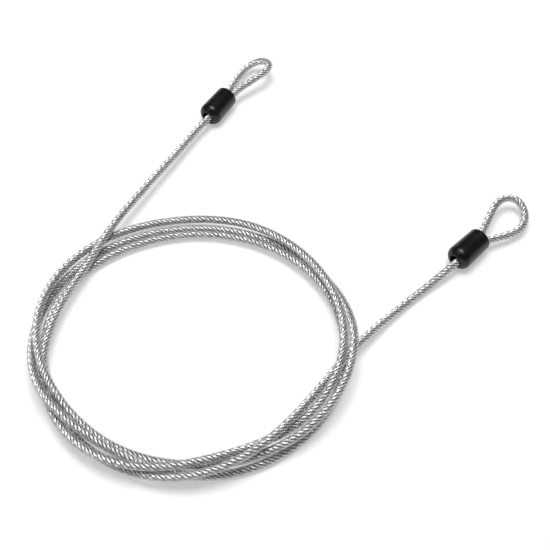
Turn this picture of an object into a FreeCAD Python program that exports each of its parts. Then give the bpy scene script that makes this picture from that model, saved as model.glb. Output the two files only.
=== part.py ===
"""Lock cable with an eye at each end, laid down as a loose coil with both ends led out.

A steel wire rope runs in a clear plastic jacket. At each end the bare rope is turned back through
a two-hole ferrule, which leaves an eye for the shackle of a padlock, and a black cover hides the
ferrule. All sizes are in millimetres, and the cable lies on the plane z = 0.
"""

import FreeCAD
import Part
import math
import os
from FreeCAD import Vector

# The cable
ROPE_D = 3.0                # wire rope, over its strands
JACKET_WALL = 0.45          # clear jacket
JACKET_CLEARANCE = 0.05     # between rope and jacket, all round
BORE_D = ROPE_D + 2 * JACKET_CLEARANCE
CABLE_D = BORE_D + 2 * JACKET_WALL

# The crimped ends
LEG_GAP = 0.2               # between the two jacketed legs where they leave the ferrule
LEG_OFFSET = (CABLE_D + LEG_GAP) / 2
FERRULE_LENGTH = 10.5
FERRULE_WALL = 0.8
CRIMP_CLEARANCE = 0.05      # between rope and ferrule, all round
DEAD_END_SETBACK = 1.0      # the turned-back end stops this far inside the ferrule
FERRULE_MIDDLE = 11.75      # from the cover's nose to the ferrule's middle, along the cover
LEG_SKEW = 6.0              # the ferrule and its legs lie turned in the cover by this angle
COVER_LENGTH = 19.6
COVER_WALL = 0.56           # beside the ferrule's corner and beside the legs at the mouth
COVER_TAPER = 1.0           # the nose, where the cable comes in, is wider than the mouth by this
COVER_CLEARANCE = 0.15      # between the cover and what lies in it, all round
NOSE_ROUNDING = 3.8
NOSE_GAP = 0.9              # between the cable and the round recess in the nose
NOSE_RECESS_DEPTH = 3.0
RIM_ROUNDING = 0.4
MOUTH_ROUNDING = 0.8

# What follows from these: the ferrule in its two holes, and the cover round it
ferrule_hole_d = ROPE_D + 2 * CRIMP_CLEARANCE
ferrule_width = 2 * LEG_OFFSET + ferrule_hole_d + 2 * FERRULE_WALL
ferrule_height = ferrule_hole_d + 2 * FERRULE_WALL
ferrule_start = FERRULE_MIDDLE - FERRULE_LENGTH / 2
ferrule_end = FERRULE_MIDDLE + FERRULE_LENGTH / 2
pocket_width = ferrule_width + 2 * COVER_CLEARANCE
channel_width = 2 * LEG_OFFSET + CABLE_D + 2 * COVER_CLEARANCE
skew = math.radians(LEG_SKEW)
corner_reach = ((FERRULE_LENGTH / 2 + COVER_CLEARANCE) * math.sin(skew)
                + pocket_width / 2 * math.cos(skew))
mouth_reach = ((COVER_LENGTH - FERRULE_MIDDLE) * math.tan(skew)
               + channel_width / 2 / math.cos(skew))
mouth_r = max(corner_reach, mouth_reach) + COVER_WALL
nose_r = mouth_r + COVER_TAPER / 2

# Middle of the coil and of the whole part: the part's own origin is the middle of its outline
SHIFT_X = 7.13
SHIFT_Y = 18.03

# Each end of the cable: the middle of the nose, the heading of the cover's axis from nose to
# mouth, and the roll of the two legs about that axis, in degrees
NOSE_A = (-35.5, 101.2)
HEADING_A = 60.0
ROLL_A = 20.0
NOSE_B = (84.2, 3.2)
HEADING_B = 46.3
ROLL_B = -10.0

# The eyes, in the plane of their two legs: distance from the nose along the ferrule's axis, and
# distance across it. Both run from the live leg to the turned-back leg, outside the cover.
EYE_A = [(26.0, 2.2), (33.0, 4.0), (40.2, 6.4), (46.8, 7.5), (51.8, 4.5), (53.6, -1.5),
         (50.2, -6.2), (44.0, -7.3), (36.0, -6.4), (28.0, -3.8)]
EYE_B = [(26.5, 3.8), (33.0, 6.2), (40.0, 7.2), (46.6, 4.6), (51.0, -1.0), (51.6, -7.0),
         (47.4, -10.6), (41.0, -10.6), (34.0, -7.7), (27.5, -4.7)]
LEG_STRAIGHT = 4.0          # the legs run on straight for this length past the ferrule

# The free ends between cover and coil, as points of the route
END_A = [(-41.4, 91.0, 5.9), (-49.8, 75.1, 6.3), (-58.6, 59.4, 7.2), (-67.8, 42.4, 7.9),
         (-76.4, 26.2, 8.6), (-84.0, 8.4, 8.5)]
END_B = [(31.2, -50.6, 6.6), (41.2, -38.6, 5.6), (52.0, -26.6, 3.3), (63.0, -15.9, 2.3),
         (71.8, -8.4, 3.2), (78.6, -2.9, 4.9)]
NOSE_LEAD = 1.5             # the cable leaves the nose straight for this length
LANDING = 9.0               # and meets the coil along its tangent, for this length

# The coil: three and a half loose turns about this middle. The angle runs on from turn to turn, and the
# radius and the height swing between these keys along half waves.
COIL_X = -35.7
COIL_Y = -35.1
COIL_START = 159.0
COIL_END = 1410.0
COIL_ARCS_PER_TURN = 24
SWINGS = [(43, 108.2), (156, 61.3), (241, 75.1), (299, 66.2), (320, 68.2), (396, 63.6),
          (445, 66.1), (501, 70.7), (615, 66.0), (679, 72.8), (808, 62.1), (909, 71.9),
          (923, 72.6), (962, 69.3), (1008, 72.9), (1164, 57.5), (1179, 57.7), (1262, 66.9),
          (1276, 67.6), (1345, 75.1), (1407, 63.5), (1463, 87.4)]
LOW = CABLE_D / 2 + 0.05    # the cable's middle where it lies on the floor
CLIMBS = [(1, 9.13), (195, 6.86), (211, 6.4), (275, 11.23), (308, 6.93), (342, 11.55),
          (476, 3.63), (555, 11.53), (611, 2.6), (704, 11.55), (747, 2.1), (888, 2.1),
          (933, 11.13), (1006, 2.39), (1067, LOW), (1098, 5.26), (1173, 3.19), (1304, 2.08),
          (1381, 11.77), (1434, 6.16)]


def half_wave(keys, angle):
    """Value at an angle, along half a cosine wave from one key to the next."""
    for (a0, v0), (a1, v1) in zip(keys, keys[1:]):
        if angle <= a1:
            share = (angle - a0) / (a1 - a0)
            return v0 + (v1 - v0) * 0.5 * (1 - math.cos(math.pi * share))
    return keys[-1][1]


def coil_point(angle):
    """Point of the coil's centreline at a running angle in degrees."""
    turn = math.radians(angle)
    radius = half_wave(SWINGS, angle)
    return Vector(COIL_X + radius * math.cos(turn) - SHIFT_X,
                  COIL_Y + radius * math.sin(turn) - SHIFT_Y,
                  half_wave(CLIMBS, angle))


def coil_heading(angle):
    """Direction of the coil's centreline at a running angle."""
    return (coil_point(angle + 0.05) - coil_point(angle - 0.05)).normalize()


def cover_placement(nose, heading, roll):
    """Placement that takes the X axis to a cover's axis and the Y axis across its legs."""
    h = math.radians(heading)
    r = math.radians(roll)
    axis = Vector(math.cos(h), math.sin(h), 0)
    side = Vector(math.sin(h), -math.cos(h), 0)
    leg = side * math.cos(r) + Vector(0, 0, 1) * math.sin(r)
    square = axis.cross(leg)
    turned = FreeCAD.Matrix(axis.x, leg.x, square.x, nose[0] - SHIFT_X,
                            axis.y, leg.y, square.y, nose[1] - SHIFT_Y,
                            axis.z, leg.z, square.z, nose_r,
                            0, 0, 0, 1)
    return FreeCAD.Placement(turned)


def skewed():
    """Placement of the ferrule and its legs in the cover: turned about the ferrule's middle."""
    return FreeCAD.Placement(Vector(0, 0, 0), FreeCAD.Rotation(Vector(0, 0, 1), LEG_SKEW),
                             Vector(FERRULE_MIDDLE, 0, 0))


def at_legs(nose, heading, roll, along, across):
    """Point in the plane of an end's two legs: along the ferrule's axis, and across it."""
    placement = cover_placement(nose, heading, roll).multiply(skewed())
    return placement.multVec(Vector(along, across, 0))


def rounded_route(points, name):
    """Straight runs joined by tangent arcs, each as large as its two runs allow."""
    edges = []
    radii = []
    start = points[0]
    for before, corner, after in zip(points, points[1:], points[2:]):
        back = before - corner
        on = after - corner
        trim = 0.45 * min(back.Length, on.Length)
        half_turn = (math.pi - back.getAngle(on)) / 2
        radii.append(trim / math.tan(half_turn))
        back.normalize()
        on.normalize()
        first = corner + back * trim
        last = corner + on * trim
        to_middle = (back + on).normalize()
        middle = corner + to_middle * (radii[-1] / math.cos(half_turn) - radii[-1])
        if (first - start).Length > 1e-6:
            edges.append(Part.LineSegment(start, first).toShape())
        edges.append(Part.Arc(first, middle, last).toShape())
        start = last
    edges.append(Part.LineSegment(start, points[-1]).toShape())
    print(name, "radii", [round(radius, 1) for radius in radii])
    return edges


def arc_through(start, heading, end):
    """Circular arc from a start point and heading to an end point."""
    chord = end - start
    square = (heading.cross(chord)).cross(heading).normalize()
    radius = chord.dot(chord) / (2 * chord.dot(square))
    centre = start + square * radius
    to_middle = ((start + end) * 0.5 - centre).normalize()
    return Part.Arc(start, centre + to_middle * radius, end).toShape()


def arc_pair(p0, t0, p1, t1):
    """Two arcs that share a tangent, from one point and heading to the next."""
    chord = p1 - p0
    t = t0 + t1
    rest = 2 * (1 - t0.dot(t1))
    reach = (-chord.dot(t) + math.sqrt(chord.dot(t) ** 2 + rest * chord.dot(chord))) / rest
    joint = (p0 + t0 * reach + p1 - t1 * reach) * 0.5
    first = arc_through(p0, t0, joint)
    second = arc_through(p1, t1 * -1, joint)
    return [first, Part.Arc(joint, second.valueAt((second.FirstParameter
                                                   + second.LastParameter) / 2), p1).toShape()]


def tube(edges, diameter):
    """Solid tube of a diameter along a route."""
    route = Part.Wire(edges)
    first = edges[0]
    start = first.valueAt(first.FirstParameter)
    heading = first.tangentAt(first.FirstParameter)
    ring = Part.Wire(Part.Circle(start, heading, diameter / 2).toShape())
    sweep = Part.BRepOffsetAPI.MakePipeShell(route)
    sweep.add(ring)
    sweep.build()
    sweep.makeSolid()
    return sweep.shape()


def least_gap(edges, diameter):
    """Least distance between surfaces of a route's tube, past a stretch of three diameters."""
    points = []
    for edge in edges:
        points += edge.discretize(Distance=1.5)[:-1]
    length = 0.0
    run = [0.0]
    for a, b in zip(points, points[1:]):
        length += (b - a).Length
        run.append(length)
    least = 1e9
    for i in range(0, len(points)):
        for j in range(i + 1, len(points)):
            if run[j] - run[i] > 6 * diameter:
                least = min(least, (points[j] - points[i]).Length)
    return least - diameter


def route_length(edges):
    return sum(edge.Length for edge in edges)


def stadium(width, height, x0, length):
    """Bar of rounded-oval section along X, its width along Y."""
    flat = (width - height) / 2
    r = height / 2
    if flat <= 0:
        return Part.makeCylinder(r, length, Vector(x0, 0, 0), Vector(1, 0, 0))
    low = Part.LineSegment(Vector(x0, -flat, -r), Vector(x0, flat, -r)).toShape()
    right = Part.Arc(Vector(x0, flat, -r), Vector(x0, flat + r, 0), Vector(x0, flat, r)).toShape()
    high = Part.LineSegment(Vector(x0, flat, r), Vector(x0, -flat, r)).toShape()
    left = Part.Arc(Vector(x0, -flat, r), Vector(x0, -flat - r, 0), Vector(x0, -flat, -r)).toShape()
    return Part.Face(Part.Wire([low, right, high, left])).extrude(Vector(length, 0, 0))


def make_ferrule():
    """Two-hole crimp ferrule, pressed oval."""
    body = stadium(ferrule_width, ferrule_height, ferrule_start, FERRULE_LENGTH)
    for side in (-1, 1):
        hole = Part.makeCylinder(ferrule_hole_d / 2, FERRULE_LENGTH + 2,
                                 Vector(ferrule_start - 1, side * LEG_OFFSET, 0),
                                 Vector(1, 0, 0))
        body = body.cut(hole)
    return body


def make_cover():
    """Moulded cover: domed nose with a round recess, tapered body, and room for what it hides."""
    cover = Part.makeCone(nose_r, mouth_r, COVER_LENGTH, Vector(0, 0, 0), Vector(1, 0, 0))
    nose_edges = [e for e in cover.Edges if e.Closed and e.BoundBox.XMax < 0.01]
    cover = cover.makeFillet(NOSE_ROUNDING, nose_edges)
    mouth_edges = [e for e in cover.Edges if e.Closed and e.BoundBox.XMin > COVER_LENGTH - 0.01]
    cover = cover.makeFillet(MOUTH_ROUNDING, mouth_edges)
    recess_r = CABLE_D / 2 + NOSE_GAP
    cover = cover.cut(Part.makeCylinder(recess_r, NOSE_RECESS_DEPTH + 1, Vector(-1, 0, 0),
                                        Vector(1, 0, 0)))
    rim_edges = [e for e in cover.Edges if e.Closed and e.BoundBox.XMax < NOSE_ROUNDING / 2
                 and abs(e.BoundBox.YMax - recess_r) < 0.01]
    cover = cover.makeFillet(RIM_ROUNDING, rim_edges)

    pocket = stadium(pocket_width, ferrule_height + 2 * COVER_CLEARANCE,
                     ferrule_start - COVER_CLEARANCE, FERRULE_LENGTH + 2 * COVER_CLEARANCE)
    channel = stadium(channel_width, CABLE_D + 2 * COVER_CLEARANCE, ferrule_end, COVER_LENGTH)
    leg_hole = Part.makeCylinder(CABLE_D / 2 + COVER_CLEARANCE, ferrule_start + 2,
                                 Vector(-2, LEG_OFFSET, 0), Vector(1, 0, 0))
    for room in (pocket, channel, leg_hole):
        room.Placement = skewed().multiply(room.Placement)
        cover = cover.cut(room)
    return cover


parts = {}


def keep(node, solid):
    parts[node] = solid


def note_tube(node, solid, edges, area):
    expected = area * route_length(edges)
    print(node, "length", round(route_length(edges), 1), "valid", solid.isValid(),
          "volume", round(solid.Volume, 1), "section x length", round(expected, 1))


def cable_pieces(name, edges):
    """Rope and clear jacket of one stretch."""
    rope = tube(edges, ROPE_D)
    jacket = tube(edges, CABLE_D).cut(tube(edges, BORE_D))
    note_tube("rope_" + name, rope, edges, math.pi * ROPE_D ** 2 / 4)
    note_tube("jacket_" + name, jacket, edges, math.pi * (CABLE_D ** 2 - BORE_D ** 2) / 4)
    keep("rope_" + name, rope)
    keep("jacket_" + name, jacket)


def make_end(letter, nose, heading, roll, eye):
    """Cover, ferrule and eye of one end of the cable."""
    cover = make_cover()
    cover.Placement = cover_placement(nose, heading, roll)
    keep("sleeve_cover_" + letter, cover)
    ferrule = make_ferrule()
    ferrule.Placement = cover_placement(nose, heading, roll).multiply(skewed())
    keep("crimp_ferrule_" + letter, ferrule)
    turn_in = ferrule_end + LEG_STRAIGHT

    def place(along, across):
        return at_legs(nose, heading, roll, along, across)

    loop = [place(along, across) for along, across in eye]
    jacket_route = ([place(ferrule_end, LEG_OFFSET), place(turn_in, LEG_OFFSET)] + loop
                    + [place(turn_in, -LEG_OFFSET), place(ferrule_end, -LEG_OFFSET)])
    edges = rounded_route(jacket_route, "eye " + letter)
    jacket = tube(edges, CABLE_D).cut(tube(edges, BORE_D))
    note_tube("jacket_eye_" + letter, jacket, edges, math.pi * (CABLE_D ** 2 - BORE_D ** 2) / 4)
    keep("jacket_eye_" + letter, jacket)
    live_leg = Part.LineSegment(place(ferrule_start, LEG_OFFSET), jacket_route[0]).toShape()
    dead_leg = Part.LineSegment(jacket_route[-1],
                                place(ferrule_start + DEAD_END_SETBACK, -LEG_OFFSET)).toShape()
    rope_edges = [live_leg] + edges + [dead_leg]
    rope = tube(rope_edges, ROPE_D)
    note_tube("rope_eye_" + letter, rope, rope_edges, math.pi * ROPE_D ** 2 / 4)
    keep("rope_eye_" + letter, rope)
    return route_length(rope_edges)


def main():
    total = make_end("a", NOSE_A, HEADING_A, ROLL_A, EYE_A)
    total += make_end("b", NOSE_B, HEADING_B, ROLL_B, EYE_B)

    coil_edges = []
    count = round((COIL_END - COIL_START) / 360 * COIL_ARCS_PER_TURN)
    angles = [COIL_START + (COIL_END - COIL_START) * i / count for i in range(count + 1)]
    start = coil_point(COIL_START)
    end = coil_point(COIL_END)
    start_heading = coil_heading(COIL_START)
    end_heading = coil_heading(COIL_END)
    coil_edges.append(Part.LineSegment(start - start_heading * CABLE_D, start).toShape())
    for a0, a1 in zip(angles, angles[1:]):
        coil_edges += arc_pair(coil_point(a0), coil_heading(a0), coil_point(a1), coil_heading(a1))
    coil_edges.append(Part.LineSegment(end, end + end_heading * CABLE_D).toShape())
    print("coil least gap", round(least_gap(coil_edges, CABLE_D), 2))
    cable_pieces("coil", coil_edges)

    def shifted(points):
        return [Vector(x - SHIFT_X, y - SHIFT_Y, z) for x, y, z in points]

    landing_a = start - start_heading * CABLE_D
    route_a = ([at_legs(NOSE_A, HEADING_A, ROLL_A, ferrule_start, LEG_OFFSET),
                at_legs(NOSE_A, HEADING_A, ROLL_A, -NOSE_LEAD, LEG_OFFSET)] + shifted(END_A)
               + [landing_a - start_heading * LANDING, landing_a])
    edges_a = rounded_route(route_a, "end a")
    cable_pieces("end_a", edges_a)

    landing_b = end + end_heading * CABLE_D
    route_b = ([landing_b, landing_b + end_heading * LANDING] + shifted(END_B)
               + [at_legs(NOSE_B, HEADING_B, ROLL_B, -NOSE_LEAD, LEG_OFFSET),
                  at_legs(NOSE_B, HEADING_B, ROLL_B, ferrule_start, LEG_OFFSET)])
    edges_b = rounded_route(route_b, "end b")
    cable_pieces("end_b", edges_b)

    whole = edges_a + coil_edges + edges_b
    print("whole cable least gap", round(least_gap(whole, CABLE_D), 2))
    total += route_length(whole)
    print("rope length", round(total, 1))

    os.makedirs("parts", exist_ok=True)
    box = FreeCAD.BoundBox()
    for node, solid in parts.items():
        solid.exportStep("parts/" + node + ".step")
        box.add(solid.optimalBoundingBox(True))
        print(node, "solids", len(solid.Solids), "volume", round(solid.Volume, 1))
    print("box", box)


main()
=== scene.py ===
# %% [markdown]
# # A lock cable with two eyes
#
# The object is a steel wire rope in a clear plastic jacket. Both ends are turned back into an eye
# and crimped, and a black cover hides each crimp. It lies on a white table as a loose coil.
#
# Almost all of it is one long cable, so this lesson is about curves: one smooth spline gives the
# route, and the jacket and every strand of the rope follow that spline.

import math

import bpy
import numpy as np
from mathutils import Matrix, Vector


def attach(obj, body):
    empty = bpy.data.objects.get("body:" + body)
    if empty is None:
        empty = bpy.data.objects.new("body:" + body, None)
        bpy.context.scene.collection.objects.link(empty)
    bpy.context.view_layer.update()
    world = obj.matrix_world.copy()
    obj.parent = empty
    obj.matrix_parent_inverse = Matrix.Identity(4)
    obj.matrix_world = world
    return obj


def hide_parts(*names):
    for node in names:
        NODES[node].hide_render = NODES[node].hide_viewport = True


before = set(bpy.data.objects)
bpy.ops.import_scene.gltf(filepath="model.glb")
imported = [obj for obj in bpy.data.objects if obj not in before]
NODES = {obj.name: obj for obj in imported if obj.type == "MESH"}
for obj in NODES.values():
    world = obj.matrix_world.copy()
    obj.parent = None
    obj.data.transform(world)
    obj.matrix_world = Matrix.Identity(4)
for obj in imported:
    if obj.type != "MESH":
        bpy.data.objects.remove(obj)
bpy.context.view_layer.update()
print("nodes:", sorted(NODES))

# %% [markdown]
# ## Camera
#
# The photo looks down at the table at about 51 degrees. The focal length was worked out from how
# much smaller the far eye looks than the near one. The aim is the point of the table that the
# middle of the picture shows, which is not quite the middle of the part.

# %% Camera
MM = 0.001
# The middle of the part lies this far to the right of the aim point, and this far beyond it
SHIFT_X = 7.13
SHIFT_Y = 18.03
PICTURE_MIDDLE = Vector((-SHIFT_X, -SHIFT_Y, 0.0)) * MM
ELEVATION = math.radians(51.2)
DISTANCE = 496.5 * MM
SENSOR_WIDTH = 36.0
FOCAL_LENGTH = 69.05


def look_from(azimuth, elevation, distance, target):
    """A place at a distance from a target, seen from an azimuth and an elevation in radians."""
    flat = math.cos(elevation)
    away = Vector((math.sin(azimuth) * flat, -math.cos(azimuth) * flat, math.sin(elevation)))
    return target + away * distance


camera_data = bpy.data.cameras.new("camera")
camera_data.sensor_width = SENSOR_WIDTH
camera_data.lens = FOCAL_LENGTH
camera_data.clip_start = 0.01
camera_data.clip_end = 20.0
camera = bpy.data.objects.new("camera", camera_data)
bpy.context.scene.collection.objects.link(camera)
camera.location = look_from(0.0, ELEVATION, DISTANCE, PICTURE_MIDDLE)
camera.rotation_euler = (math.pi / 2 - ELEVATION, 0.0, 0.0)
bpy.context.scene.camera = camera
print("camera at", [round(v, 4) for v in camera.location])

# %% [markdown]
# ## The route of the cable
#
# The cable's middle line is a list of points given for the two free ends and the two eyes, and a
# formula for the coil, because nobody wants to type ninety points. The coil's radius and height
# swing between a few keys along half waves, which is how a springy wire really lies: each turn is
# a little larger or smaller than the one under it, and climbs over it at a shallow angle.

# %% Sizes of the cable and places of its ends, in millimetres
CABLE_D = 4.0
LEG_OFFSET = 2.1            # from the middle of the ferrule to either leg
FERRULE_START = 6.5         # all distances along a cover are from its nose
FERRULE_MIDDLE = 11.75
FERRULE_END = 17.0
LEG_STRAIGHT = 4.0          # the legs run on straight for this length past the ferrule
DEAD_END_SETBACK = 1.0      # the turned-back end stops this far inside the ferrule
NOSE_LEAD = 1.5             # the cable leaves the nose straight for this length
LANDING = 13.0              # and meets the coil along its tangent, for this length
AXIS_HEIGHT = 6.2           # of a cover that lies on the table
LEG_SKEW = math.radians(6.0)
# Each nose: its place, the heading of the cover in degrees, and the roll of the two legs
NOSE_A = (-35.5, 101.2, 60.0, 20.0)
NOSE_B = (84.2, 3.2, 46.3, -10.0)


def at_end(end, along, across):
    """Point in the plane of an end's two legs, which lie a little askew in their cover."""
    heading = math.radians(end[2])
    roll = math.radians(end[3])
    axis = Vector((math.cos(heading), math.sin(heading), 0.0))
    side = Vector((math.sin(heading), -math.cos(heading), 0.0))
    leg = side * math.cos(roll) + Vector((0.0, 0.0, 1.0)) * math.sin(roll)
    middle = Vector((end[0] - SHIFT_X, end[1] - SHIFT_Y, AXIS_HEIGHT)) + axis * FERRULE_MIDDLE
    out = axis * math.cos(LEG_SKEW) + leg * math.sin(LEG_SKEW)
    over = leg * math.cos(LEG_SKEW) - axis * math.sin(LEG_SKEW)
    return middle + out * (along - FERRULE_MIDDLE) + over * across


print("nose A", at_end(NOSE_A, 0, 0), "nose B", at_end(NOSE_B, 0, 0))

# %% The coil's formula
COIL_X = -35.7
COIL_Y = -35.1
COIL_START = 159.0
COIL_END = 1410.0
COIL_POINTS_PER_TURN = 24
LOW = CABLE_D / 2 + 0.05    # height of the cable's middle where it lies on the table
NUDGE = 0.05                # angle on either side of a point that gives its heading
SWINGS = [(43, 108.2), (156, 61.3), (241, 75.1), (299, 66.2), (320, 68.2), (396, 63.6),
          (445, 66.1), (501, 70.7), (615, 66.0), (679, 72.8), (808, 62.1), (909, 71.9),
          (923, 72.6), (962, 69.3), (1008, 72.9), (1164, 57.5), (1179, 57.7), (1262, 66.9),
          (1276, 67.6), (1345, 75.1), (1407, 63.5), (1463, 87.4)]
CLIMBS = [(1, 9.13), (195, 6.86), (211, 6.4), (275, 11.23), (308, 6.93), (342, 11.55),
          (476, 3.63), (555, 11.53), (611, 2.6), (704, 11.55), (747, 2.1), (888, 2.1),
          (933, 11.13), (1006, 2.39), (1067, LOW), (1098, 5.26), (1173, 3.19), (1304, 2.08),
          (1381, 11.77), (1434, 6.16)]


def half_wave(keys, angle):
    """Value at an angle, along half a cosine wave from one key to the next."""
    for (a0, v0), (a1, v1) in zip(keys, keys[1:]):
        if angle <= a1:
            share = (angle - a0) / (a1 - a0)
            return v0 + (v1 - v0) * 0.5 * (1 - math.cos(math.pi * share))
    return keys[-1][1]


def coil_point(angle, outward=1.0):
    """Point of the coil at a running angle in degrees, a little further out where asked."""
    turn = math.radians(angle)
    radius = half_wave(SWINGS, angle) * outward
    return Vector((COIL_X + radius * math.cos(turn) - SHIFT_X,
                   COIL_Y + radius * math.sin(turn) - SHIFT_Y,
                   half_wave(CLIMBS, angle)))


def coil_heading(angle):
    """Direction of the coil at a running angle."""
    return (coil_point(angle + NUDGE) - coil_point(angle - NUDGE)).normalized()


# A quadratic spline cuts a little inside its points, by this share of the radius
step = math.radians(360 / COIL_POINTS_PER_TURN)
outward = 1 / (0.75 + 0.25 * math.cos(step))
count = round((COIL_END - COIL_START) / 360 * COIL_POINTS_PER_TURN)
coil = [coil_point(COIL_START + (COIL_END - COIL_START) * i / count, outward)
        for i in range(count + 1)]
print("coil points:", len(coil), "turns:", round((COIL_END - COIL_START) / 360, 2))

# %% The free ends and the eyes
END_A = [(-41.4, 91.0, 5.9), (-49.8, 75.1, 6.3), (-58.6, 59.4, 7.2), (-67.8, 42.4, 7.9),
         (-76.4, 26.2, 8.6), (-84.0, 8.4, 8.5)]
END_B = [(31.2, -50.6, 6.6), (41.2, -38.6, 5.6), (52.0, -26.6, 3.3), (63.0, -15.9, 2.3),
         (71.8, -8.4, 3.2), (78.6, -2.9, 4.9)]
EYE_A = [(26.0, 2.2), (33.0, 4.0), (40.2, 6.4), (46.8, 7.5), (51.8, 4.5), (53.6, -1.5),
         (50.2, -6.2), (44.0, -7.3), (36.0, -6.4), (28.0, -3.8)]
EYE_B = [(26.5, 3.8), (33.0, 6.2), (40.0, 7.2), (46.6, 4.6), (51.0, -1.0), (51.6, -7.0),
         (47.4, -10.6), (41.0, -10.6), (34.0, -7.7), (27.5, -4.7)]


def shifted(points):
    """Points of a free end, moved so that the middle of the part is the origin."""
    return [Vector((x - SHIFT_X, y - SHIFT_Y, z)) for x, y, z in points]


start_heading = coil_heading(COIL_START)
end_heading = coil_heading(COIL_END)
long_route = ([at_end(NOSE_A, FERRULE_START, LEG_OFFSET), at_end(NOSE_A, -NOSE_LEAD, LEG_OFFSET)]
              + shifted(END_A)
              + [coil_point(COIL_START) - start_heading * LANDING]
              + coil
              + [coil_point(COIL_END) + end_heading * LANDING]
              + shifted(END_B)
              + [at_end(NOSE_B, -NOSE_LEAD, LEG_OFFSET),
                 at_end(NOSE_B, FERRULE_START, LEG_OFFSET)])


def eye_route(end, eye):
    """Points round an eye, from the ferrule's face out and back."""
    turn_in = FERRULE_END + LEG_STRAIGHT
    out = [at_end(end, FERRULE_END, LEG_OFFSET), at_end(end, turn_in, LEG_OFFSET)]
    back = [at_end(end, turn_in, -LEG_OFFSET), at_end(end, FERRULE_END, -LEG_OFFSET)]
    return out + [at_end(end, along, across) for along, across in eye] + back


print("points of the long route:", len(long_route))

# %% [markdown]
# ## One spline per stretch
#
# A NURBS spline of order 3 is the smooth line that a springy wire takes. Order and end mode are
# set after the points are added, or Blender leaves the order at 2 and draws straight runs.


# %% Spline helper
STEP = 0.65 * MM            # between the rings of a strand
SAME_PLACE = 1e-7           # points of the spline that lie closer than this are one


def cable_curve(name, points, bevel):
    """Round tube along one NURBS spline through points in millimetres."""
    data = bpy.data.curves.new(name, "CURVE")
    data.dimensions = "3D"
    data.resolution_u = 8
    data.bevel_depth = bevel
    data.bevel_resolution = 5
    data.use_fill_caps = True
    spline = data.splines.new("NURBS")
    spline.points.add(len(points) - 1)
    for control, point in zip(spline.points, points):
        control.co = (point.x * MM, point.y * MM, point.z * MM, 1.0)
    spline.order_u = 3
    spline.use_endpoint_u = True
    curve = bpy.data.objects.new(name, data)
    bpy.context.scene.collection.objects.link(curve)
    return curve


def line_of(points, name):
    """Evenly spaced points read from the NURBS spline through a route, in metres."""
    curve = cable_curve(name, points, 0.0)
    curve.data.resolution_u = 32
    curve.data.use_fill_caps = False
    bpy.context.view_layer.update()
    mesh = bpy.data.meshes.new_from_object(curve)
    raw = np.array([tuple(v.co) for v in mesh.vertices])
    bpy.data.meshes.remove(mesh)
    bpy.data.objects.remove(curve)
    kept = [0]
    for i in range(1, len(raw)):
        if np.linalg.norm(raw[i] - raw[kept[-1]]) > SAME_PLACE:
            kept.append(i)
    raw = raw[kept]
    run = np.concatenate([[0.0], np.cumsum(np.linalg.norm(np.diff(raw, axis=0), axis=1))])
    wanted = np.linspace(0.0, run[-1], max(2, int(run[-1] / STEP) + 1))
    even = np.stack([np.interp(wanted, run, raw[:, k]) for k in range(3)], axis=1)
    return even, run[-1]


# %% [markdown]
# ## Materials
#
# Every colour is written as the sRGB value that a paint chart would give, and one function turns
# it into the linear value that the shader wants. One more small function adds a node.


# %% Material helpers
def srgb(hex_value):
    """Linear colour with alpha 1 from an sRGB hex string."""
    parts = [int(hex_value[i:i + 2], 16) / 255 for i in (0, 2, 4)]
    linear = [c / 12.92 if c <= 0.04045 else ((c + 0.055) / 1.055) ** 2.4 for c in parts]
    return (*linear, 1.0)


def add_node(material, kind, settings=None, links=None):
    """Adds a node, sets its fields and sockets, and links other nodes' outputs to its inputs."""
    node = material.node_tree.nodes.new(kind)
    for key, value in (settings or {}).items():
        if isinstance(key, str) and hasattr(node, key):
            setattr(node, key, value)
        else:
            node.inputs[key].default_value = value
    for key, source in (links or {}).items():
        material.node_tree.links.new(source, node.inputs[key])
    return node


def new_material(name):
    """Empty node material with only its output node."""
    material = bpy.data.materials.new(name)
    material.use_nodes = True
    material.node_tree.nodes.clear()
    output = material.node_tree.nodes.new("ShaderNodeOutputMaterial")
    return material, output


def finish_material(material, output, shader):
    """Joins a shader to the material's output, and hands the material back."""
    material.node_tree.links.new(shader.outputs[0], output.inputs["Surface"])
    return material


# %% [markdown]
# ### Galvanised steel wire
#
# The wires are drawn carbon steel with a zinc coat: light grey, fairly smooth, with a soft sheen.
# What makes a rope read as a rope is the darkness between its wires, where light doesn't reach,
# so an attribute on the strands says how deep in a groove each point lies, and shade is painted
# there.


# %% Wire material
def make_wire_material():
    """Light zinc on the crowns of the wires; painted shade, near black and duller, in the grooves.
    """
    material, output = new_material("galvanised_steel_wire")
    groove = add_node(material, "ShaderNodeAttribute", {"attribute_name": "groove"})
    place = add_node(material, "ShaderNodeTexCoord")
    patches = add_node(material, "ShaderNodeTexNoise", {"Scale": 420.0, "Detail": 3.0},
                       {"Vector": place.outputs["Object"]})
    zinc = add_node(material, "ShaderNodeValToRGB", None, {"Fac": patches.outputs["Fac"]})
    zinc.color_ramp.elements[0].position = 0.35
    zinc.color_ramp.elements[0].color = srgb("d2d4d6")
    zinc.color_ramp.elements[1].position = 0.65
    zinc.color_ramp.elements[1].color = srgb("eff0f1")
    depth = add_node(material, "ShaderNodeMapRange",
                     {"From Min": 0.2, "From Max": 0.8, "To Min": 0.0, "To Max": 1.0},
                     {"Value": groove.outputs["Fac"]})
    # Painted shade: the groove attribute mixes near black over the zinc
    colour = add_node(material, "ShaderNodeMix", {"data_type": "RGBA", 7: srgb("060607")},
                      {0: depth.outputs["Result"], 6: zinc.outputs["Color"]})
    rough = add_node(material, "ShaderNodeMapRange",
                     {"From Min": 0.0, "From Max": 1.0, "To Min": 0.28, "To Max": 0.5},
                     {"Value": groove.outputs["Fac"]})
    shader = add_node(material, "ShaderNodeBsdfPrincipled", {"Metallic": 0.75},
                      {"Base Color": colour.outputs[2], "Roughness": rough.outputs["Result"]})
    return finish_material(material, output, shader)


wire_material = make_wire_material()

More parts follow.
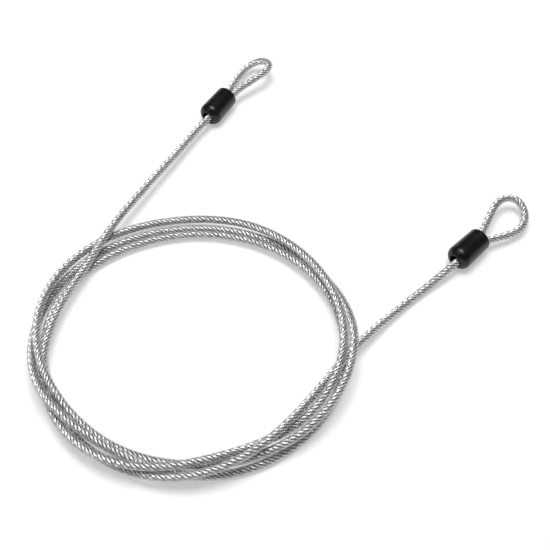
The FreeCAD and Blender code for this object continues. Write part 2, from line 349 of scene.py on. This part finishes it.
# %% [markdown]
# ### Clear vinyl jacket
#
# The jacket is extruded soft vinyl, almost colourless. Looking straight through it there is
# hardly anything to see. Towards its edges the eye looks through more plastic and it gets greyer,
# so its opacity grows as the surface turns away, and its gloss is that of smooth plastic.


# %% Jacket material
def make_jacket_material():
    """Clear where it faces the eye and grey at its edges, with a faint ripple."""
    material, output = new_material("clear_vinyl_jacket")
    edge = add_node(material, "ShaderNodeLayerWeight", {"Blend": 0.5})
    alpha = add_node(material, "ShaderNodeMapRange",
                     {"From Min": 0.6, "From Max": 1.0, "To Min": 0.01, "To Max": 0.55},
                     {"Value": edge.outputs["Facing"]})
    place = add_node(material, "ShaderNodeTexCoord")
    ripple = add_node(material, "ShaderNodeTexNoise", {"Scale": 260.0, "Detail": 2.0},
                      {"Vector": place.outputs["Object"]})
    bump = add_node(material, "ShaderNodeBump", {"Strength": 0.06, "Distance": 0.0001},
                    {"Height": ripple.outputs["Fac"]})
    shader = add_node(material, "ShaderNodeBsdfPrincipled",
                      {"Base Color": srgb("85888c"), "Roughness": 0.12, "IOR": 1.53},
                      {"Alpha": alpha.outputs["Result"], "Normal": bump.outputs["Normal"]})
    return finish_material(material, output, shader)


jacket_material = make_jacket_material()

# %% [markdown]
# ### Black moulded cover
#
# The covers are injection-moulded soft plastic, black with a satin gloss, with a fine spark-eroded
# texture from the mould and a few rubbed places.


# %% Cover and ferrule materials
def make_cover_material():
    """Near black with a satin gloss, a fine grain and a few rubbed places."""
    material, output = new_material("black_moulded_vinyl")
    place = add_node(material, "ShaderNodeTexCoord")
    grain = add_node(material, "ShaderNodeTexNoise", {"Scale": 2600.0, "Detail": 2.0},
                     {"Vector": place.outputs["Object"]})
    rubbed = add_node(material, "ShaderNodeTexNoise", {"Scale": 180.0, "Detail": 4.0},
                      {"Vector": place.outputs["Object"]})
    rough = add_node(material, "ShaderNodeMapRange",
                     {"From Min": 0.35, "From Max": 0.7, "To Min": 0.27, "To Max": 0.38},
                     {"Value": rubbed.outputs["Fac"]})
    tint = add_node(material, "ShaderNodeValToRGB", None, {"Fac": rubbed.outputs["Fac"]})
    tint.color_ramp.elements[0].position = 0.4
    tint.color_ramp.elements[0].color = srgb("060607")
    tint.color_ramp.elements[1].position = 0.75
    tint.color_ramp.elements[1].color = srgb("0d0d0e")
    bump = add_node(material, "ShaderNodeBump", {"Strength": 0.12, "Distance": 0.00005},
                    {"Height": grain.outputs["Fac"]})
    shader = add_node(material, "ShaderNodeBsdfPrincipled", {"IOR": 1.5, "Specular IOR Level": 0.4},
                      {"Base Color": tint.outputs["Color"], "Roughness": rough.outputs["Result"],
                       "Normal": bump.outputs["Normal"]})
    return finish_material(material, output, shader)


def make_ferrule_material():
    """Bright aluminium with the faint marks of the press."""
    material, output = new_material("pressed_aluminium")
    place = add_node(material, "ShaderNodeTexCoord")
    marks = add_node(material, "ShaderNodeTexNoise", {"Scale": 900.0, "Detail": 4.0},
                     {"Vector": place.outputs["Object"]})
    tint = add_node(material, "ShaderNodeValToRGB", None, {"Fac": marks.outputs["Fac"]})
    tint.color_ramp.elements[0].color = srgb("b9babc")
    tint.color_ramp.elements[1].color = srgb("d9dadb")
    shader = add_node(material, "ShaderNodeBsdfPrincipled", {"Metallic": 1.0, "Roughness": 0.38},
                      {"Base Color": tint.outputs["Color"]})
    return finish_material(material, output, shader)


cover_material = make_cover_material()
ferrule_material = make_ferrule_material()
for letter in "ab":
    for name, material in (("sleeve_cover_", cover_material), ("crimp_ferrule_", ferrule_material)):
        node = NODES[name + letter]
        node.data.materials.clear()
        node.data.materials.append(material)
print("covers and ferrules have their materials")

# %% [markdown]
# ## The rope
#
# The rope is six strands laid round a core to the right, and each strand is six wires laid round
# a seventh to the left. A strand is made as one tube whose section has six lobes: the section
# turns as it goes along, so the lobes run as wires do. That takes far fewer faces than modelling
# each wire, and looks much the same from outside.
#
# A round clear jacket works as a lens and shows the rope wider than it is. This jacket doesn't
# bend light, so the strands are drawn wider inside it, and swell from their true width where the
# bare rope enters it.

# %% Rope helper
ROPE_LAY = 12.6 * MM        # a strand goes once round the rope in this length
WIRE_LAY = 8.0 * MM         # and a wire once round its strand in this one
STRANDS = 6
WIRES = 6                   # round the middle one of each strand
STRAND_R = 0.47 * MM
STRAND_RING = 1.03 * MM     # from the middle of the rope to that of a strand
CORE_R = 0.58 * MM
MAGNIFIED = 1.22            # how much wider the jacket makes the rope look
FADE = 1.5 * MM             # the rope swells over this length
# Reach of a strand's section from one wire's crown to the groove and back, as shares
LOBE = [1.0, 0.945, 0.66, 0.945]
LOBE_DEPTH = 0.34           # from crown to groove
CAP_DEPTH = [0.5, 0.5]      # for the middle points of a strand's two end caps
# The groove attribute is painted shade, in the grooves between wires and on the side towards the
# core
LOBE_PAINTED_SHADE = 0.45        # how much the groove between two wires darkens
CORE_SIDE_PAINTED_SHADE = 1.5        # and how much the side towards the core does


def moving_frames(line):
    """Headings along a line and two directions square to them that don't twist."""
    heading = np.gradient(line, axis=0)
    heading /= np.linalg.norm(heading, axis=1)[:, None]
    first = np.cross(heading[0], [0.0, 0.0, 1.0])
    first /= np.linalg.norm(first)
    normals = [first]
    for h in heading[1:]:
        n = normals[-1] - h * np.dot(normals[-1], h)
        normals.append(n / np.linalg.norm(n))
    normals = np.array(normals)
    return heading, normals, np.cross(heading, normals)


def strand_object(name, line, phase, bare):
    """One six-wire strand as a closed tube with six lobes, thin where it's bare at both ends."""
    heading, normal, square = moving_frames(line)
    run = np.concatenate([[0.0], np.cumsum(np.linalg.norm(np.diff(line, axis=0), axis=1))])
    turn = 2 * math.pi * run / ROPE_LAY + phase
    out = normal * np.cos(turn)[:, None] + square * np.sin(turn)[:, None]
    swell = np.interp(run, [bare - FADE, bare, run[-1] - bare, run[-1] - bare + FADE],
                      [1.0, MAGNIFIED, MAGNIFIED, 1.0])[:, None]
    middle = line + out * STRAND_RING * swell
    along = np.gradient(middle, axis=0)
    along /= np.linalg.norm(along, axis=1)[:, None]
    side = out - along * np.sum(out * along, axis=1)[:, None]
    side /= np.linalg.norm(side, axis=1)[:, None]
    third = np.cross(along, side)
    lobes = len(LOBE) * WIRES
    angle = np.arange(lobes) * 2 * math.pi / lobes
    reach = np.tile(LOBE, WIRES)[None, :] * STRAND_R * swell
    roll = -2 * math.pi * run / WIRE_LAY
    around = angle[None, :] + roll[:, None]
    points = (middle[:, None, :]
              + side[:, None, :] * (np.cos(around) * reach)[:, :, None]
              + third[:, None, :] * (np.sin(around) * reach)[:, :, None])
    rings = len(line)
    vertices = np.concatenate([points.reshape(-1, 3), middle[:1], middle[-1:]])
    i = np.arange(rings - 1)[:, None] * lobes
    j = np.arange(lobes)[None, :]
    k = (j + 1) % lobes
    quads = np.stack([i + j, i + k, i + lobes + k, i + lobes + j], axis=2).reshape(-1, 4)
    first_cap = [(rings * lobes, (a + 1) % lobes, a) for a in range(lobes)]
    base = (rings - 1) * lobes
    last_cap = [(rings * lobes + 1, base + a, base + (a + 1) % lobes) for a in range(lobes)]
    mesh = bpy.data.meshes.new(name)
    mesh.from_pydata(vertices.tolist(), [], quads.tolist() + first_cap + last_cap)
    depth = np.concatenate([np.tile(1 - np.tile(LOBE, WIRES), rings) / LOBE_DEPTH, CAP_DEPTH])
    # The side of a strand that faces the rope's core lies deepest and gets the most painted shade
    inward = np.concatenate([np.clip(0.5 - np.cos(around).reshape(-1), 0, 1), CAP_DEPTH])
    mesh.attributes.new("groove", "FLOAT", "POINT").data.foreach_set(
        "value", np.clip(LOBE_PAINTED_SHADE * depth + CORE_SIDE_PAINTED_SHADE * inward, 0, 1).astype(np.float32))
    mesh.polygons.foreach_set("use_smooth", [True] * len(mesh.polygons))
    mesh.materials.append(wire_material)
    strand = bpy.data.objects.new(name, mesh)
    bpy.context.scene.collection.objects.link(strand)
    return strand


def make_rope(name, points, bare):
    """Six strands and a core along a route."""
    line, length = line_of(points, name + "_line")
    strands = [strand_object(f"{name}_strand_{i + 1}", line, i * 2 * math.pi / STRANDS, bare)
               for i in range(STRANDS)]
    core = cable_curve(name + "_core", points, CORE_R)
    core.data.bevel_resolution = 1
    core.data.materials.append(wire_material)
    faces = sum(len(s.data.polygons) for s in strands)
    print(name, "length", round(length, 4), "strand faces", faces)
    return strands + [core]


def make_stretch(name, points, rope_points, nodes, bare=0.0):
    """Jacket and rope of one stretch of the cable, attached to the root body in place of the file's
    parts.
    """
    jacket = cable_curve(name + "_jacket", points, CABLE_D / 2 * MM)
    jacket.data.materials.append(jacket_material)
    pieces = make_rope(name + "_rope", rope_points, bare)
    _, length = line_of(points, name + "_measure")
    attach(jacket, "root")
    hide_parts(*[n for n in nodes if n.startswith("jacket")])
    for piece in pieces:
        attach(piece, "root")
        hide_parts(*[n for n in nodes if n.startswith("rope")])
    return length


# %% The three stretches
make_stretch("cable", long_route, long_route,
             ["jacket_end_a", "jacket_coil", "jacket_end_b", "rope_end_a", "rope_coil",
              "rope_end_b"])
for letter, end, eye in (("a", NOSE_A, EYE_A), ("b", NOSE_B, EYE_B)):
    loop = eye_route(end, eye)
    legs = ([at_end(end, FERRULE_START, LEG_OFFSET), at_end(end, FERRULE_MIDDLE, LEG_OFFSET)]
            + loop
            + [at_end(end, FERRULE_MIDDLE, -LEG_OFFSET),
               at_end(end, FERRULE_START + DEAD_END_SETBACK, -LEG_OFFSET)])
    make_stretch("eye_" + letter, loop, legs, ["jacket_eye_" + letter, "rope_eye_" + letter],
                 (FERRULE_END - FERRULE_START) * MM + FADE)

# %% [markdown]
# ## Table and light
#
# The photo is a product shot on a white table under one broad light from above and a little
# behind, with a weaker fill from the left. The table shows as plain white and keeps the soft
# shadow under the cable: its material adds a plain white glow to what the light does, and only
# the picture and what shines or is seen through get that glow.


# %% Table
WHITE = (1.0, 1.0, 1.0, 1.0)
TABLE_SIZE = 6.0
TABLE_GLOW = 0.4


def make_floor_material():
    """White paper with a plain glow that doesn't light the part."""
    material, output = new_material("white_table")
    path = add_node(material, "ShaderNodeLightPath")
    seen = add_node(material, "ShaderNodeMath", {"operation": "MAXIMUM"},
                    {0: path.outputs["Is Camera Ray"], 1: path.outputs["Is Glossy Ray"]})
    seen_through = add_node(material, "ShaderNodeMath", {"operation": "MAXIMUM"},
                            {0: seen.outputs[0], 1: path.outputs["Is Transmission Ray"]})
    glow = add_node(material, "ShaderNodeMath", {"operation": "MULTIPLY", 1: TABLE_GLOW},
                    {0: seen_through.outputs[0]})
    paper = add_node(material, "ShaderNodeBsdfDiffuse", {"Color": srgb("d8d8d8")})
    light = add_node(material, "ShaderNodeEmission", {"Color": WHITE},
                     {"Strength": glow.outputs[0]})
    both = add_node(material, "ShaderNodeAddShader", None,
                    {0: paper.outputs[0], 1: light.outputs[0]})
    return finish_material(material, output, both)


bpy.ops.object.select_all(action="DESELECT")
bpy.ops.mesh.primitive_plane_add(size=TABLE_SIZE, location=(0.0, 0.0, 0.0))
floor = bpy.context.object
floor.name = "table_top"
floor.data.materials.append(make_floor_material())

# %% Light
WORLD_FILL = 0.15           # on the part
WORLD_SEEN = 1.0            # in the picture

scene = bpy.context.scene
world = bpy.data.worlds.new("studio")
scene.world = world
world.use_nodes = True
tree = world.node_tree
tree.nodes.clear()
world_out = tree.nodes.new("ShaderNodeOutputWorld")
fill = tree.nodes.new("ShaderNodeBackground")
white = tree.nodes.new("ShaderNodeBackground")
for background, strength in ((fill, WORLD_FILL), (white, WORLD_SEEN)):
    background.inputs["Color"].default_value = WHITE
    background.inputs["Strength"].default_value = strength
path = tree.nodes.new("ShaderNodeLightPath")
mix = tree.nodes.new("ShaderNodeMixShader")
tree.links.new(path.outputs["Is Camera Ray"], mix.inputs[0])
tree.links.new(fill.outputs[0], mix.inputs[1])
tree.links.new(white.outputs[0], mix.inputs[2])
tree.links.new(mix.outputs[0], world_out.inputs["Surface"])


def area_light(name, azimuth, elevation, distance, size, power):
    """Square softbox that points at the middle of the picture."""
    data = bpy.data.lights.new(name, "AREA")
    data.shape = "SQUARE"
    data.size = size
    data.energy = power
    lamp = bpy.data.objects.new(name, data)
    bpy.context.scene.collection.objects.link(lamp)
    lamp.location = look_from(math.radians(azimuth), math.radians(elevation), distance,
                              PICTURE_MIDDLE)
    lamp.rotation_euler = (PICTURE_MIDDLE - lamp.location).to_track_quat("-Z", "Y").to_euler()


area_light("overhead_softbox", azimuth=180.0, elevation=84.0, distance=1.2, size=0.7, power=12.0)
area_light("left_fill", azimuth=295.0, elevation=40.0, distance=1.2, size=0.6, power=1.2)
scene.view_settings.view_transform = "Standard"
